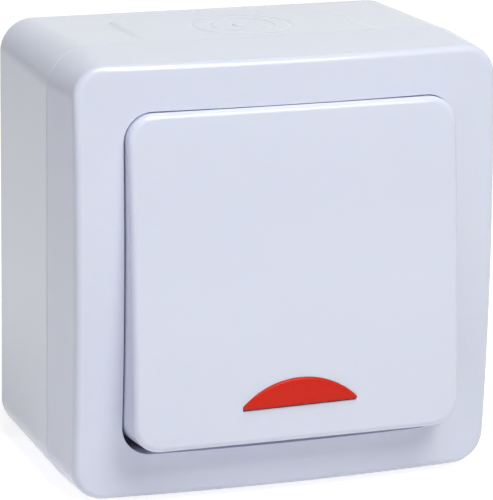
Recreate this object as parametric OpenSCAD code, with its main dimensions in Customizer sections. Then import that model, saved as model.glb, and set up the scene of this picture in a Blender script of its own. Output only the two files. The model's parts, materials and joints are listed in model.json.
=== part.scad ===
// Surface mounted one gang light switch with an indicator lens.
// Row frame: X right, Z up, the wall in the plane y = 0 and the face towards -Y.
// The modules are written lying on their back (x right, y up, z out from the wall),
// and upright() turns them into the row frame.

/* [Body] */
// Width of the cover at the parting line
body_w = 68; // [62:0.5:80]
// Height of the cover at the parting line
body_h = 68; // [62:0.5:80]
// Corner radius of the cover at the parting line
body_r = 6.6; // [4:0.1:9]

/* [Back box] */
// Depth of the box, from the wall to the parting line
box_d = 27.8; // [26.5:0.1:34]
// How far the cover stands proud of the box at the parting line
parting_step = 0.05; // [0:0.05:0.6]
// Draft of the box on each side, from the parting line to the wall
box_draft = 0.75; // [0:0.05:1]
// Corner radius of the box at the wall
box_back_r = 5.1; // [3:0.1:6]
// Thickness of the side walls of the box
box_wall = 2; // [1.6:0.1:2.6]
// Thickness of the back wall of the box
back_wall = 2.2; // [1.6:0.1:3]
// Distance between the two wall slots
slot_spacing = 50; // [46:0.5:52]
// Width of a wall slot
slot_w = 4.4; // [3.5:0.1:5]
// Length of a wall slot, end to end
slot_l = 7.4; // [6:0.1:8]

/* [Cable entries] */
// Width of the level knock-out pad
pad_w = 36.8; // [26:0.2:44]
// Where the pad ends, measured from the wall
pad_start = 5.6; // [4:0.1:9]
// Radius of the pad's two rear corners
pad_r = 7.5; // [3:0.5:9]
// Distance of the knock-out's centre from the wall
entry_d = 18.3; // [16.5:0.1:18.4]
// Radius of the outer knock-out ring
entry_r = 8.1; // [7:0.1:8.2]
// Radius of the inner knock-out ring
entry_inner_r = 5.2; // [3.5:0.1:6]
// Width of a knock-out ring's groove
entry_groove = 0.7; // [0.4:0.1:1]
// Depth of a knock-out ring's groove
entry_groove_depth = 0.25; // [0.15:0.05:0.8]
// Radius of the pip in the middle
pip_r = 1.8; // [1:0.1:2.5]
// Height of the pip
pip_rise = 0.2; // [0.1:0.05:0.25]

/* [Cover] */
// Height of the cover's face over the parting line, at its middle
cover_rise = 14.7; // [13.5:0.1:17]
// Draft of the cover on its left and right, from the parting line to the face
cover_draft_x = 0.55; // [0:0.05:0.8]
// Draft of the cover above and below, from the parting line to the face
cover_draft_y = 0.85; // [0:0.05:1]
// Corner radius of the cover at the face
cover_face_r = 4.9; // [4:0.1:8]
// Fillet round the face
cover_edge = 1.1; // [0.8:0.1:3]
// Radius of the face's crown across the width
cover_crown_x = 305; // [250:5:800]
// Radius of the face's crown along the height
cover_crown_y = 350; // [250:5:800]
// Thickness of the cover's wall
cover_wall = 2; // [1.6:0.1:2.6]
// Width of the rocker's opening
opening_w = 52.1; // [50:0.1:54]
// Height of the rocker's opening
opening_h = 52.3; // [50:0.1:54]
// Corner radius of the opening
opening_r = 3.7; // [2:0.1:5]
// Thickness of the well's side walls
well_wall = 1.6; // [1.2:0.1:2]
// Height of the well's deck over the parting line
deck_rise = 2.8; // [2.4:0.1:3.2]
// Thickness of the deck
deck_t = 1.6; // [1.2:0.1:1.8]
// Depth of the locating lip inside the box
lip_depth = 3; // [2:0.1:4]
// Thickness of the locating lip
lip_t = 1.2; // [0.8:0.1:1.6]

/* [Seals] */
// Width of the seal in the box's rim
seal_w = 1; // [0.8:0.05:1.2]
// Depth of the seal in the box's rim
seal_d = 1.2; // [0.9:0.05:1.3]
// Thickness of the mechanism's gasket
gasket_t = 1.4; // [1:0.1:1.6]

/* [Cover screws] */
// Distance of each cover screw from the middle, both ways
screw_reach = 22.4; // [21.6:0.1:22.8]
// Radius of a cover screw's shank
screw_r = 1.4; // [1.2:0.05:1.6]
// Radius of a cover screw's head
screw_head_r = 2.7; // [2.4:0.05:2.9]
// Height of a cover screw's head
screw_head_h = 1.4; // [1:0.1:1.6]
// Radius of a screw post
post_r = 3.1; // [2.8:0.05:3.3]
// How far a cover screw reaches into its post
screw_bite = 9; // [6:0.5:14]

/* [Rocker] */
// Width of the rocker
rocker_w = 51.5; // [49.6:0.05:51.6]
// Height of the rocker
rocker_h = 50.2; // [48:0.05:50.3]
// Corner radius of the rocker
rocker_r = 3.6; // [2:0.1:5]
// Height of the rocker's face over its pivot, at the middle
rocker_rise = 11.9; // [11.2:0.05:13]
// Length of the rocker's skirt, from the pivot up to where it ends
rocker_skirt = 2.6; // [2.2:0.1:4]
// Fillet round the rocker's face
rocker_edge = 1; // [0.8:0.05:1.8]
// Radius of the rocker's crown along its height
rocker_crown_y = 590; // [300:10:1200]
// Radius of the rocker's crown across its width
rocker_crown_x = 1700; // [600:50:4000]
// Thickness of the rocker's shell
rocker_wall = 1.8; // [1.4:0.1:2.2]
// How far the rocker leans to each side of its middle
rocker_tilt = 4.65; // [3.5:0.05:4.8]
// Height of the pivot over the parting line
pivot_rise = 5.3; // [5.1:0.05:6.2]

/* [Indicator lens] */
// Width of the lens, tip to tip
lens_w = 18.2; // [14:0.2:22]
// Height of the lens
lens_h = 4.2; // [3:0.1:5]
// Distance of the lens's straight edge below the rocker's middle
lens_drop = 19.7; // [17:0.1:20]
// How far the lens stands proud of the rocker
lens_rise = 0.4; // [0.2:0.05:0.6]
// Width of the flange that holds the lens from behind
lens_flange = 0.9; // [0.6:0.1:1.2]

/* [Mechanism] */
// Width of the mechanism
base_w = 34; // [33:0.2:35]
// Height of the mechanism
base_h = 44.4; // [43.6:0.2:46]
// Gap behind the mechanism for the wires
wire_gap = 4.8; // [4:0.1:5.2]
// Height of the mechanism's tray
tray_d = 17; // [16.6:0.1:17.4]
// Thickness of the tray's outer walls
tray_wall = 1.6; // [1.2:0.1:1.8]
// Thickness of the tray's floor
tray_floor = 2; // [1.6:0.1:2.4]
// Width of the contact chamber
chamber_w = 14; // [13:0.2:14.6]
// Height of the contact chamber
chamber_h = 23; // [22:0.2:24]
// Thickness of the bearing frame's plate
frame_t = 2; // [1.6:0.1:2.2]
// Radius of a mechanism screw's shank
lug_screw_r = 1.4; // [1.2:0.05:1.6]
// Distance of the mechanism screws from the mechanism's side
lug_reach = 4.2; // [3.8:0.1:5]
// Distance of the mechanism screws from the middle, up and down
lug_y = 11; // [9:0.5:12]
// Thickness of a mounting lug
lug_t = 2.4; // [2:0.1:3]
// Height of a mounting lug's underside over the wall
lug_z = 13; // [11:0.5:15]

/* [Pivot] */
// Radius of a trunnion
trunnion_r = 2; // [1.6:0.05:2.2]
// Running clearance round a trunnion
trunnion_fit = 0.05; // [0.03:0.01:0.08]
// Radius of an ear
ear_r = 3.4; // [3.1:0.05:3.6]
// Thickness of an ear
ear_t = 2.4; // [2:0.1:2.6]
// Width of the cradle between the ears
cradle_w = 21; // [18:0.2:21.4]
// Length of the cradle's top plate
cradle_l = 24; // [22:0.2:26]
// Thickness of the cradle's top plate
cradle_t = 2.2; // [1.8:0.1:2.4]
// Height of the cradle's top over the pivot
cradle_rise = 4.2; // [4:0.1:5]
// How far the deck's way reaches beyond the ears, up and down
aperture_reach = 5; // [4:0.1:5.2]
// Room between the ears' sides and the deck's way
aperture_room = 0.6; // [0.4:0.1:1]
// Gap between moving pieces that only pass each other
passing_gap = 0.4; // [0.3:0.05:0.5]

/* [Plunger and contacts] */
// Radius of the plunger's stem
plunger_r = 1.7; // [1.4:0.05:1.9]
// Radius of the plunger's round tip
plunger_tip_r = 1.5; // [1.2:0.05:1.6]
// Wall of the tube round the plunger
tube_wall = 1; // [0.8:0.1:1.2]
// How far the plunger's tube reaches into the bearing frame, from the frame's top
tube_reach = 3.2; // [2.8:0.1:3.4]
// Length of the plunger's stem in its tube
stem_l = 3; // [2.4:0.1:3.4]
// Diameter of the spring's wire
spring_wire = 0.45; // [0.3:0.05:0.55]
// Turns of the spring
spring_turns = 5; // [3:1:7]
// Thickness of the brass strips
strip_t = 0.8; // [0.6:0.05:1]
// Width of the brass strips
strip_w = 5; // [4:0.1:5.4]
// Height of the fulcrum over the tray's floor
fulcrum_rise = 5.6; // [5:0.1:6]
// Radius of the fulcrum
fulcrum_r = 0.9; // [0.7:0.05:1]
// Running clearance round the fulcrum
fulcrum_fit = 0.08; // [0.05:0.01:0.1]
// Length of the seesaw
seesaw_l = 18.4; // [16:0.2:19.4]
// Thickness of the seesaw's plate
seesaw_t = 1.1; // [0.9:0.05:1.3]
// How many times further than the rocker the seesaw leans
seesaw_gain = 1.5; // [1.2:0.05:1.6]
// Distance of the contact tips from the fulcrum
tip_reach = 7.2; // [6:0.1:7.6]
// Radius of a contact tip
tip_r = 1.3; // [1:0.05:1.6]
// Thickness of a contact tip
tip_t = 0.7; // [0.5:0.05:0.9]
// Gap that is left between the closed contacts, and under the plunger
contact_gap = 0.3; // [0.25:0.05:0.4]
// Gap between a terminal block and each side wall of its pocket
clamp_gap = 0.1; // [0.05:0.05:0.4]
// Gap between a terminal block and each end wall of its pocket
clamp_end_gap = 0.75; // [0.5:0.05:1]
// Height of a terminal block
clamp_h = 8; // [7.4:0.1:8.6]
// Radius of the wire's hole
wire_r = 1.7; // [1.4:0.05:1.9]
// Radius of a terminal screw
clamp_screw_r = 1.5; // [1.3:0.05:1.6]
// Length of a terminal screw
clamp_screw_l = 6; // [5.5:0.1:6.4]

/* [Lamp] */
// Radius of the lamp's glass
lamp_r = 2; // [1.6:0.05:2.2]
// Length of the lamp's glass
lamp_l = 10; // [8:0.2:11]
// Distance of the lamp below the middle
lamp_drop = 17; // [16.6:0.1:17.4]
// Height of the lamp's axis over the deck
lamp_rise = 1.8; // [1.4:0.1:2.6]
// How far the lamp's holder reaches beyond each end of the glass
holder_reach = 2.1; // [1.9:0.1:2.4]
// Thickness of the holder's side walls
holder_wall = 0.7; // [0.5:0.05:0.9]
// Radius of the lamp's wires
lead_r = 0.3; // [0.2:0.05:0.4]
// Length of the resistor's body
resistor_l = 5; // [4:0.2:5.4]
// Radius of the resistor's body
resistor_r = 1.1; // [0.9:0.05:1.3]

/* [Hidden] */
$fn = 48;
CORNER_STEPS = 10;
eps = 0.01;

box_w = body_w - 2 * parting_step;
box_h = body_h - 2 * parting_step;
box_r = body_r - parting_step;
inner_w = box_w - 2 * box_wall;
inner_h = box_h - 2 * box_wall;
inner_r = box_r - box_wall;
inner_back_r = box_back_r - box_wall;

deck_top = box_d + deck_rise;
deck_bottom = deck_top - deck_t;
face_z = box_d + cover_rise;
cover_drafts = [cover_draft_x, cover_draft_y];
pivot_z = box_d + pivot_rise;

tray_z = back_wall + wire_gap;
tray_top = tray_z + tray_d;
floor_z = tray_z + tray_floor;
frame_top = tray_top + frame_t;
rim_top = deck_bottom - gasket_t;

// The well's aperture for the cradle, and its window for the lamp
aperture_w = cradle_w + 2 * (ear_t + 2 * passing_gap + aperture_room);
aperture_h = 2 * (ear_r + aperture_reach);
aperture_r = 1.6;
window_r = 0.6;
holder_w = lamp_l + 2 * holder_reach;
holder_h = 2 * (lamp_r + holder_wall);
window_w = holder_w + 2 * passing_gap;
window_h = holder_h + 2 * passing_gap;
rim_gap = 0.5;
rim_w = 1.4;

rib_t = 1.2;
web_gap = 0.5;
lip_root = 1.5;
lip_gap = 0.3;

cradle_top = pivot_z + cradle_rise;
cradle_bottom = cradle_top - cradle_t;
cheek_t = 1.8;
tube_r = plunger_r + passing_gap;
tube_outer_r = tube_r + tube_wall;
tube_end = frame_top - tube_reach;
shoulder_z = tube_end + stem_l;
leg_t = 1.5;
leg_w = 8;
barb = 0.9;
hook_h = 1.2;

skirt_z = pivot_z + rocker_skirt;
cap_top = pivot_z + rocker_rise;
cap_in_w = rocker_w - 2 * rocker_wall;
cap_in_h = rocker_h - 2 * rocker_wall;
cap_under = cap_top - fall([rocker_w / 2, rocker_h / 2], rocker_crown_x, rocker_crown_y) - rocker_wall;
lens_fit = 0.05;
lens_flange_t = 1.3;
lens_seat = cap_under + rocker_wall / 2;

seesaw_tilt = seesaw_gain * rocker_tilt;
fulcrum_z = floor_z + fulcrum_rise;
seesaw_w = strip_w + 2 * (passing_gap + strip_t);
seesaw_low = fulcrum_z + fulcrum_r * 0.7;
seesaw_top = seesaw_low + seesaw_t;
plunger_end = seesaw_top + contact_gap;

pocket_in = chamber_w / 2 + tray_wall;
pocket_out = base_w / 2 - tray_wall;
pocket_x = (pocket_in + pocket_out) / 2;
pocket_low = chamber_h / 2 + tray_wall;
pocket_high = base_h / 2 - tray_wall;
pocket_y = (pocket_low + pocket_high) / 2;
clamp_w = pocket_out - pocket_in - 2 * clamp_gap;
clamp_l = pocket_high - pocket_low - 2 * clamp_end_gap;
clamp_floor = 1;
notch_h = strip_t + 0.7;
notch_gap = 0.3;
strip_gap = 0.2;
clamp_z = floor_z + strip_t;
wire_z = clamp_z + wire_r + clamp_floor;

lamp_z = deck_top + lamp_rise;
lamp_fit = 0.05;
lead_room = 0.5;
lead_x = lamp_l / 2 + 2 * lead_r;
lead_z = tray_top - 0.7;
resistor_z = clamp_z + 2.4;
lug_wall = 1.6;
lug_r = lug_screw_r + lug_wall;
lug_x = base_w / 2 + lug_reach;
screw_fit = 0.1;
head_gap = 0.2;
driver_slot = 0.7;
screw_start = 0.6;

WHITE = [0.90, 0.91, 0.95];
PALE = [0.80, 0.82, 0.86];
GREY = [0.45, 0.47, 0.50];
RUBBER = [0.20, 0.21, 0.23];
RED = [0.84, 0.16, 0.12];
BRASS = [0.83, 0.66, 0.32];
SILVER = [0.82, 0.83, 0.85];
STEEL = [0.62, 0.64, 0.67];
GLASS = [0.95, 0.80, 0.70, 0.6];
TAN = [0.78, 0.68, 0.50];

// Helpers

// Turns a piece from lying on its back into the row frame
module upright() {
    rotate([90, 0, 0]) children();
}

// Leans a piece by an angle about a sideways axis at a height
module leaned(angle, height) {
    translate([0, 0, height]) rotate([angle, 0, 0]) translate([0, 0, -height]) children();
}

// The rocker's resting lean: its top is pressed in
module rocked() {
    leaned(-rocker_tilt, pivot_z) children();
}

// The seesaw's resting lean: its lower end is down on the fixed contact
module seesawed() {
    leaned(seesaw_tilt, fulcrum_z) children();
}

// A rectangle with round corners, about its middle
module round_rect(w, h, r) {
    square([w - 2 * r, h], center = true);
    square([w, h - 2 * r], center = true);
    for (sx = [-1, 1], sy = [-1, 1]) {
        translate([sx * (w / 2 - r), sy * (h / 2 - r)]) circle(r);
    }
}

// A plate of one outline between two heights
module slab(z0, z1) {
    translate([0, 0, z0]) linear_extrude(z1 - z0) children();
}

// A box that is smaller at the wall than at the parting line
module drafted_box(w, h, r, draft, back_r, z0, z1) {
    hull() {
        slab(z0, z0 + eps) round_rect(w - 2 * draft, h - 2 * draft, back_r, $fn = 36);
        slab(z1 - eps, z1) round_rect(w, h, r, $fn = 36);
    }
}

// Points of a rounded rectangle, counter-clockwise from its right side
function ring(w, h, r) = [
    for (c = [0 : 3], i = [0 : CORNER_STEPS])
        let (
            a = 90 * (c + i / CORNER_STEPS),
            sx = (c == 0 || c == 3) ? 1 : -1,
            sy = (c < 2) ? 1 : -1
        )
        [sx * (w / 2 - r) + r * cos(a), sy * (h / 2 - r) + r * sin(a)]
];

// How far a crowned face has fallen at a point
function fall(p, rx, ry) = p[0] * p[0] / (2 * rx) + p[1] * p[1] / (2 * ry);

// A block with a crowned, filleted face. It stands on z0 with its corners of radius r, and its
// face is at z1 in the middle with corners of radius r1. Between the two it narrows on each side
// by the draft, which has one value across and one along the height.
module crowned_block(w, h, r, draft, r1, edge, rx, ry, z0, z1) {
    edge_steps = 5;
    shrinks = [0.9, 0.7, 0.4];
    n = 4 * (CORNER_STEPS + 1);
    w1 = w - 2 * draft[0];
    h1 = h - 2 * draft[1];
    inner = ring(w1 - 2 * edge, h1 - 2 * edge, max(r1 - edge, 0.3));
    foot = [for (p = ring(w, h, r)) [p[0], p[1], z0]];
    bends = [
        for (k = [0 : edge_steps])
            let (
                a = 90 * k / edge_steps,
                inset = edge * (1 - cos(a)),
                outline = ring(w1 - 2 * inset, h1 - 2 * inset, max(r1 - inset, 0.3))
            )
            for (p = outline) [p[0], p[1], z1 - fall(p, rx, ry) - edge * (1 - sin(a))]
    ];
    face = [
        for (s = shrinks, p = inner) [s * p[0], s * p[1], z1 - fall(s * p, rx, ry)]
    ];
    rows = 1 + edge_steps + 1 + len(shrinks);
    points = concat(foot, bends, face, [[0, 0, z1]]);
    sides = [
        for (k = [0 : rows - 2], i = [0 : n - 1])
            let (
                a = k * n + i,
                b = k * n + (i + 1) % n
            )
            each [[a, a + n, b], [b, a + n, b + n]]
    ];
    top = [for (i = [0 : n - 1]) [(rows - 1) * n + i, rows * n, (rows - 1) * n + (i + 1) % n]];
    polyhedron(points, concat([[for (i = [0 : n - 1]) i]], sides, top));
}

// The four places of the cover screws
module at_posts() {
    for (sx = [-1, 1], sy = [-1, 1]) translate([sx * screw_reach, sy * screw_reach, 0]) children();
}

// The two places of the mechanism screws, across a diagonal
module at_lugs() {
    for (s = [-1, 1]) translate([s * lug_x, s * lug_y, 0]) children();
}

// A pan head screw with a slot, its head's underside at the origin and its shank below
module screw(shank_r, shank_l, head_r, head_h) {
    difference() {
        union() {
            translate([0, 0, -shank_l]) cylinder(r = shank_r, h = shank_l + eps);
            cylinder(r1 = head_r, r2 = head_r * 0.85, h = head_h);
        }
        translate([0, 0, head_h]) cube([3 * head_r, driver_slot, head_h], center = true);
    }
}

// Back box and its seal

// Outline of the level pad, seen from above: x across, y away from the wall
module pad_outline() {
    translate([-pad_w / 2, pad_start + pad_r]) square([pad_w, box_d - pad_start - pad_r]);
    translate([-pad_w / 2 + pad_r, pad_start]) square([pad_w - 2 * pad_r, box_d - pad_start]);
    for (s = [-1, 1]) translate([s * (pad_w / 2 - pad_r), pad_start + pad_r]) circle(pad_r);
}

// The level pad of a cable entry on the upper wall. Its top is level with the parting line,
// so it rises from the drafted wall towards its rear end.
module entry_pad() {
    thickness = box_draft + 0.6;
    translate([0, box_h / 2, 0]) rotate([90, 0, 0]) {
        linear_extrude(thickness) pad_outline();
        translate([0, entry_d, -pip_rise]) cylinder(r1 = pip_r * 0.7, r2 = pip_r, h = pip_rise + eps);
    }
}

// The knock-out's two ring grooves in the upper pad
module entry_grooves() {
    translate([0, box_h / 2 + eps, entry_d]) rotate([90, 0, 0]) {
        for (r = [entry_inner_r, entry_r]) {
            linear_extrude(entry_groove_depth + eps) difference() {
                circle(r);
                circle(r - entry_groove);
            }
        }
    }
}

module wall_slot() {
    translate([-(slot_l - slot_w) / 2, -slot_w / 2]) square([slot_l - slot_w, slot_w]);
    for (s = [-1, 1]) translate([s * (slot_l - slot_w) / 2, 0]) circle(slot_w / 2);
}

module seal_outline(grow) {
    mid_w = box_w - box_wall;
    mid_h = box_h - box_wall;
    mid_r = box_r - box_wall / 2;
    round_rect(mid_w + grow, mid_h + grow, mid_r + grow / 2);
}

// The webs that tie the four posts to the side walls, under the cover's lip
module post_webs() {
    for (sx = [0, 1], sy = [-1, 1]) mirror([sx, 0, 0]) {
        translate([screw_reach, sy * screw_reach - rib_t / 2, 0]) {
            cube([inner_w / 2 - screw_reach + box_wall / 4, rib_t, box_d - lip_depth - web_gap]);
        }
    }
}

module back_box() {
    color(WHITE) upright() difference() {
        union() {
            difference() {
                drafted_box(box_w, box_h, box_r, box_draft, box_back_r, 0, box_d);
                drafted_box(inner_w, inner_h, inner_r, box_draft, inner_back_r, back_wall, box_d + 1);
            }
            for (s = [0, 1]) mirror([0, s, 0]) entry_pad();
            at_posts() cylinder(r = post_r, h = box_d);
            at_lugs() cylinder(r = lug_r, h = lug_z);
            post_webs();
        }
        for (s = [0, 1]) mirror([0, s, 0]) entry_grooves();
        at_posts() translate([0, 0, box_d - screw_bite - 1]) cylinder(r = screw_r, h = screw_bite + 2);
        at_lugs() translate([0, 0, back_wall + 1]) cylinder(r = lug_screw_r, h = lug_z);
        for (s = [-1, 1]) translate([s * slot_spacing / 2, 0, 0]) slab(-1, back_wall + 1) wall_slot();
        slab(box_d - seal_d, box_d + 1) difference() {
            seal_outline(seal_w);
            seal_outline(-seal_w);
        }
    }
}

module box_seal() {
    color(RUBBER) upright() slab(box_d - seal_d, box_d) difference() {
        seal_outline(seal_w);
        seal_outline(-seal_w);
    }
}

// Cover

module opening_outline(grow) {
    round_rect(opening_w + 2 * grow, opening_h + 2 * grow, opening_r + grow);
}

module aperture_outline(grow) {
    round_rect(aperture_w + 2 * grow, aperture_h + 2 * grow, aperture_r + grow);
}

module window_outline(grow) {
    translate([0, -lamp_drop]) round_rect(window_w + 2 * grow, window_h + 2 * grow, window_r + grow);
}

// One outline round both ways through the deck, grown by a margin
module gasket_outline(grow) {
    low = -lamp_drop - window_h / 2;
    high = aperture_h / 2;
    translate([0, (low + high) / 2]) {
        round_rect(aperture_w + 2 * grow, high - low + 2 * grow, aperture_r + grow);
    }
}

module gasket_ring() {
    difference() {
        gasket_outline(rim_gap + rim_w);
        gasket_outline(rim_gap);
    }
}

// The ribs that stiffen the channel between the well and the outer wall
module channel_ribs() {
    for (turn = [0 : 90 : 270], s = [-1, 1]) rotate(turn) {
        translate([s * opening_w / 4 - rib_t / 2, opening_h / 2, box_d + lip_root]) {
            cube([rib_t, body_h / 2 - opening_h / 2, cover_rise]);
        }
    }
}

module lip_outline() {
    round_rect(inner_w - 2 * lip_gap - 2 * lip_t, inner_h - 2 * lip_gap - 2 * lip_t, inner_r - lip_gap);
}

// The hollow behind the face: it leaves the well, its posts, the ribs and the lip's root standing
module cover_cavity() {
    difference() {
        crowned_block(
            inner_w, inner_h, inner_r, cover_drafts, cover_face_r - cover_wall, cover_edge / 2,
            cover_crown_x, cover_crown_y, box_d - 1, face_z - cover_wall
        );
        slab(deck_bottom, face_z) opening_outline(well_wall);
        at_posts() translate([0, 0, box_d - 2]) cylinder(r = post_r, h = deck_rise + 2 - eps);
        slab(box_d - 2, box_d + lip_root) difference() {
            square([body_w, body_h], center = true);
            lip_outline();
        }
        channel_ribs();
    }
}

module cover_frame() {
    color(WHITE) upright() difference() {
        union() {
            difference() {
                crowned_block(
                    body_w, body_h, body_r, cover_drafts, cover_face_r, cover_edge,
                    cover_crown_x, cover_crown_y, box_d, face_z
                );
                cover_cavity();
            }
            slab(box_d - lip_depth, box_d + lip_root / 2) difference() {
                round_rect(inner_w - 2 * lip_gap, inner_h - 2 * lip_gap, inner_r - lip_gap);
                lip_outline();
            }
        }
        slab(deck_top, face_z + 1) opening_outline(0);
        slab(deck_bottom - 1, deck_top + 1) {
            aperture_outline(0);
            window_outline(0);
        }
        at_posts() translate([0, 0, box_d - 1]) cylinder(r = screw_r + head_gap, h = cover_rise);
    }
}

module cover_screws() {
    color(STEEL) upright() at_posts() translate([0, 0, deck_top]) {
        screw(screw_r - screw_fit, deck_rise + screw_bite, screw_head_r, screw_head_h);
    }
}

// Rocker

module lens_outline(grow) {
    half = lens_w / 2;
    big_r = (half * half + lens_h * lens_h) / (2 * lens_h);
    intersection() {
        translate([0, lens_h - big_r]) circle(big_r + grow, $fn = 96);
        translate([-half - grow, -grow]) square([lens_w + 2 * grow, lens_h + 2 * grow]);
    }
}

module rocker_cap() {
    hook_z = cradle_bottom - hook_h;
    color(WHITE) upright() rocked() difference() {
        union() {
            difference() {
                crowned_block(
                    rocker_w, rocker_h, rocker_r, [0, 0], rocker_r, rocker_edge,
                    rocker_crown_x, rocker_crown_y, skirt_z, cap_top
                );
                slab(skirt_z - 1, cap_under) {
                    round_rect(cap_in_w, cap_in_h, rocker_r - rocker_wall);
                }
            }
            for (s = [0, 1]) mirror([0, s, 0]) {
                translate([-leg_w / 2, cradle_l / 2, hook_z]) cube([leg_w, leg_t, cap_under + eps - hook_z]);
                translate([-leg_w / 2, cradle_l / 2 - barb, hook_z]) cube([leg_w, leg_t + barb, hook_h]);
            }
            for (sx = [-1, 1], sy = [-1, 1]) {
                translate([sx * (cradle_w / 2 - 3), sy * (cradle_l / 2 - 3), cradle_top]) {
                    cylinder(r = 1.2, h = cap_under + eps - cradle_top);
                }
            }
        }
        translate([0, -lens_drop, 0]) slab(skirt_z, cap_top + 1) lens_outline(0);
        translate([0, -lens_drop, 0]) slab(skirt_z, lens_seat) lens_outline(lens_flange);
    }
}

module indicator_lens() {
    lens_fall = fall([0, lens_drop - lens_h / 2], rocker_crown_x, rocker_crown_y);
    lens_bottom = lens_seat - lens_flange_t;
    color(RED) upright() rocked() translate([0, -lens_drop, 0]) {
        slab(lens_bottom, cap_top - lens_fall + lens_rise) lens_outline(-lens_fit);
        slab(lens_bottom, lens_seat) lens_outline(lens_flange - 2 * lens_fit);
    }
}

module cradle() {
    color(PALE) upright() rocked() difference() {
        union() {
            slab(cradle_bottom, cradle_top) square([cradle_w, cradle_l], center = true);
            for (s = [-1, 1]) {
                translate([s * (cradle_w - cheek_t) / 2, 0, 0]) {
                    slab(pivot_z, cradle_bottom + eps) square([cheek_t, 2 * ear_r], center = true);
                    translate([-cheek_t / 2, 0, pivot_z]) rotate([0, 90, 0]) {
                        cylinder(r = ear_r, h = cheek_t);
                    }
                }
                translate([s * (cradle_w / 2 - eps), 0, pivot_z]) rotate([0, s * 90, 0]) {
                    cylinder(r = trunnion_r, h = passing_gap + ear_t);
                }
            }
            translate([0, 0, tube_end]) cylinder(r = tube_outer_r, h = cradle_top - tube_end);
        }
        translate([0, 0, tube_end - 1]) cylinder(r = tube_r, h = cradle_bottom - tube_end + 1);
    }
}

module plunger() {
    color(GREY) upright() rocked() {
        translate([0, 0, plunger_end + plunger_tip_r]) {
            sphere(plunger_tip_r);
            cylinder(r = plunger_tip_r, h = tube_end - plunger_end - plunger_tip_r + passing_gap + eps);
        }
        slab(tube_end + passing_gap, shoulder_z) circle(plunger_r);
    }
}

// One turn after another of round wire, swept as a tube along a helix
module coil(mean_r, wire_r, height, turns) {
    steps = 14;
    sides = 6;
    rings = turns * steps;
    points = [
        for (i = [0 : rings], k = [0 : sides - 1])
            let (
                a = 360 * i / steps,
                b = 360 * k / sides,
                reach = mean_r + wire_r * cos(b)
            )
            [reach * cos(a), reach * sin(a), wire_r + (height - 2 * wire_r) * i / rings + wire_r * sin(b)]
    ];
    skin = [
        for (i = [0 : rings - 1], k = [0 : sides - 1])
            let (
                a = i * sides + k,
                b = i * sides + (k + 1) % sides
            )
            each [[a, b, a + sides], [b, b + sides, a + sides]]
    ];
    first = [for (k = [sides - 1 : -1 : 0]) k];
    last = [for (k = [0 : sides - 1]) rings * sides + k];
    polyhedron(points, concat([first], skin, [last]));
}

module plunger_spring() {
    color(STEEL) upright() rocked() translate([0, 0, shoulder_z]) {
        coil(plunger_r - spring_wire / 2, spring_wire / 2, cradle_bottom - shoulder_z, spring_turns);
    }
}

// Mechanism

module bearing_frame() {
    slot_h = 2 * (tube_outer_r + (pivot_z - tube_end) * sin(rocker_tilt) + passing_gap);
    slot_across = 2 * (tube_outer_r + passing_gap);
    color(PALE) upright() difference() {
        union() {
            slab(tray_top, frame_top) square([base_w, base_h], center = true);
            slab(tray_top, rim_top) gasket_ring();
            for (s = [-1, 1]) translate([s * (cradle_w / 2 + passing_gap / 2 + ear_t / 2), 0, 0]) {
                slab(tray_top, pivot_z) square([ear_t, 2 * ear_r], center = true);
                translate([-ear_t / 2, 0, pivot_z]) rotate([0, 90, 0]) cylinder(r = ear_r, h = ear_t);
            }
        }
        translate([-base_w, 0, pivot_z]) rotate([0, 90, 0]) {
            cylinder(r = trunnion_r + trunnion_fit, h = 2 * base_w);
        }
        slab(tray_top - 1, frame_top + 1) round_rect(slot_across, slot_h, 1);
        for (s = [-1, 1]) translate([s * pocket_x, -s * pocket_y, tray_top - 1]) {
            cylinder(r = clamp_screw_r + driver_slot, h = rim_top - tray_top + 2);
        }
        for (s = [-1, 1]) translate([s * lead_x, -lamp_drop, tray_top - 1]) {
            cylinder(r = lead_r + lead_room, h = frame_t + 2);
        }
    }
}

module mechanism_seal() {
    color(RUBBER) upright() slab(rim_top, deck_bottom) gasket_ring();
}

// A pocket of the tray, over its floor
module pocket(x0, x1, y0, y1) {
    translate([x0, y0, floor_z]) cube([x1 - x0, y1 - y0, tray_d]);
}

module mechanism_base() {
    color(GREY) upright() difference() {
        union() {
            slab(tray_z, tray_top) square([base_w, base_h], center = true);
            at_lugs() translate([0, 0, lug_z]) cylinder(r = lug_r, h = lug_t);
            for (s = [-1, 1]) {
                translate([s * (lug_x + base_w / 2 - 1) / 2, s * lug_y, lug_z + lug_t / 2]) {
                    cube([lug_x - base_w / 2 + 1, 2 * lug_r, lug_t], center = true);
                }
            }
        }
        pocket(-chamber_w / 2, chamber_w / 2, -chamber_h / 2, chamber_h / 2);
        for (sy = [0, 1]) mirror([0, sy, 0]) pocket(-chamber_w / 2, chamber_w / 2, pocket_low, pocket_high);
        lead_groove();
        for (sx = [0, 1]) mirror([sx, 0, 0]) {
            pocket(pocket_in, pocket_out, -chamber_h / 2, chamber_h / 2);
            for (sy = [0, 1]) mirror([0, sy, 0]) pocket(pocket_in, pocket_out, pocket_low, pocket_high);
        }
        for (s = [0, 1]) mirror([0, s, 0]) mirror([s, 0, 0]) {
            translate([-pocket_x, pocket_high - 1, wire_z]) rotate([-90, 0, 0]) {
                cylinder(r = wire_r + passing_gap, h = tray_wall + 2);
            }
            pocket_notch();
        }
        at_lugs() cylinder(r = lug_screw_r + head_gap, h = tray_top);
    }
}

// The way of a strip from the chamber to the upper left pocket, along the floor
module pocket_notch() {
    across = strip_w / 2 + notch_gap;
    translate([-across, chamber_h / 2 - 1, floor_z]) {
        cube([2 * across, 1 + tray_wall + 2 * strip_gap + strip_w, notch_h]);
    }
    translate([-pocket_in - 1, pocket_low, floor_z]) {
        cube([pocket_in + 1 + across, strip_w + 2 * strip_gap, notch_h]);
    }
}

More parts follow.
